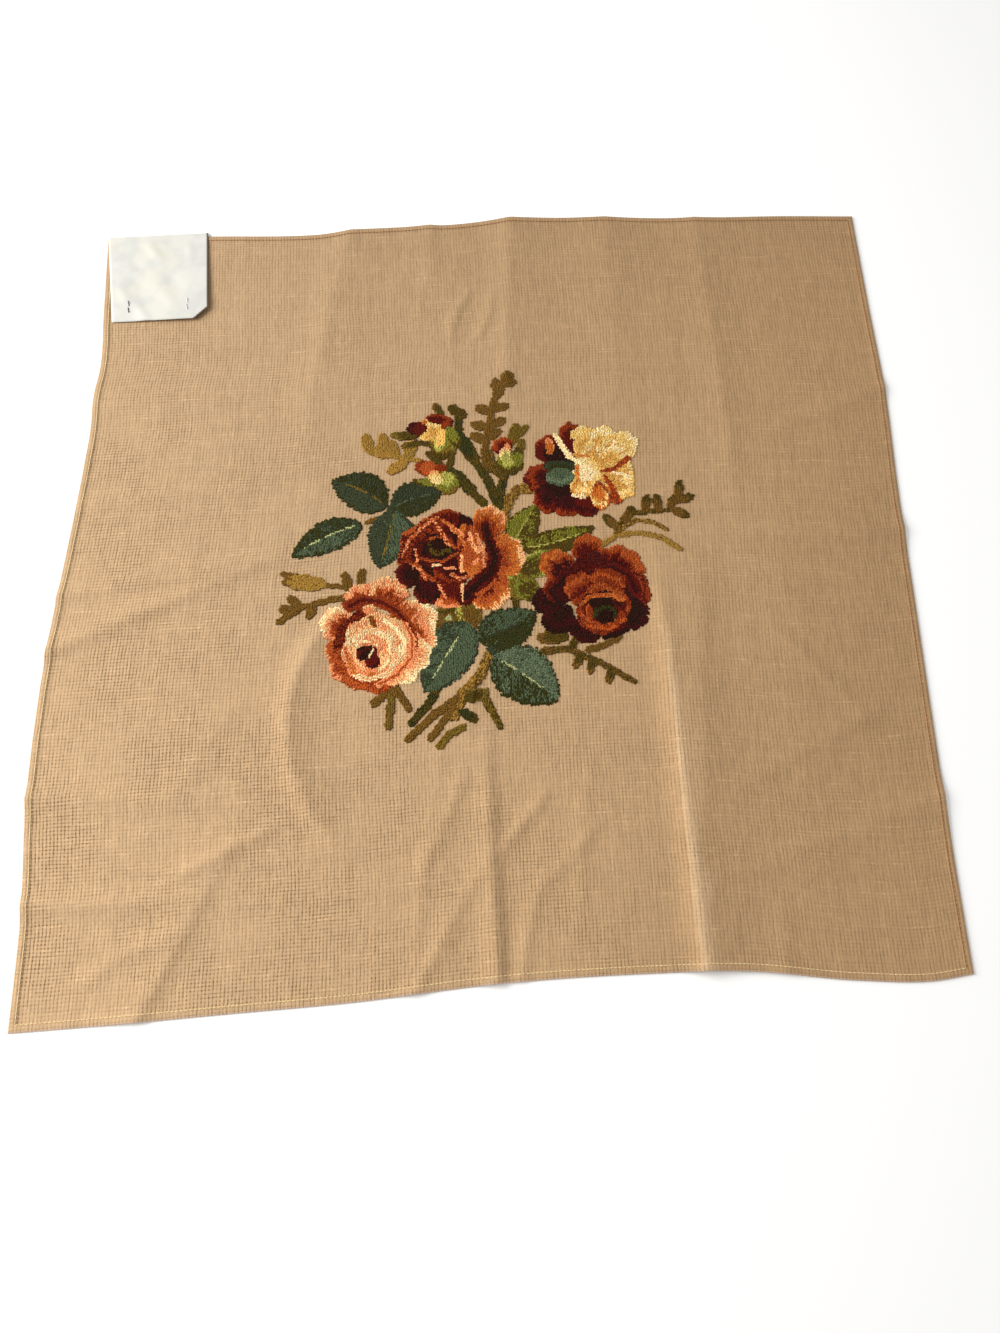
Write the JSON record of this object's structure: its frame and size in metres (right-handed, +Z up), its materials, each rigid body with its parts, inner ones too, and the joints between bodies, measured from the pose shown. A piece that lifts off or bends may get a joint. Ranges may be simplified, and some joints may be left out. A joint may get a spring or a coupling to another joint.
{
  "type": "needlepoint canvas panel",
  "caption": "Hemmed square of tan double-thread needlepoint canvas with a worked wool flower spray, laid out flat in soft folds, with a blank card label stapled over one corner.",
  "frame": {"origin": "on the surface that the panel lies on, under the middle of its bounding box", "axes": "+Z up through the worked face, +Y along the panel away from its near hem towards the labelled edge, +X to the right"},
  "size_m": [0.6677, 0.6582, 0.0071],
  "materials": {
    "canvas": "tan double-thread cotton canvas, matt, with a pale hem line",
    "wool": "dyed tapestry wool in rust, maroon, salmon, yellow, teal and olive, soft and matt",
    "label": "blank off-white coated card, creased, slight sheen",
    "steel": "dull staple wire"
  },
  "bodies": {
    "root": {"canvas": "canvas", "corner_label": "label", "staple_left": "steel", "staple_right": "steel"}
  },
  "joints": []
}
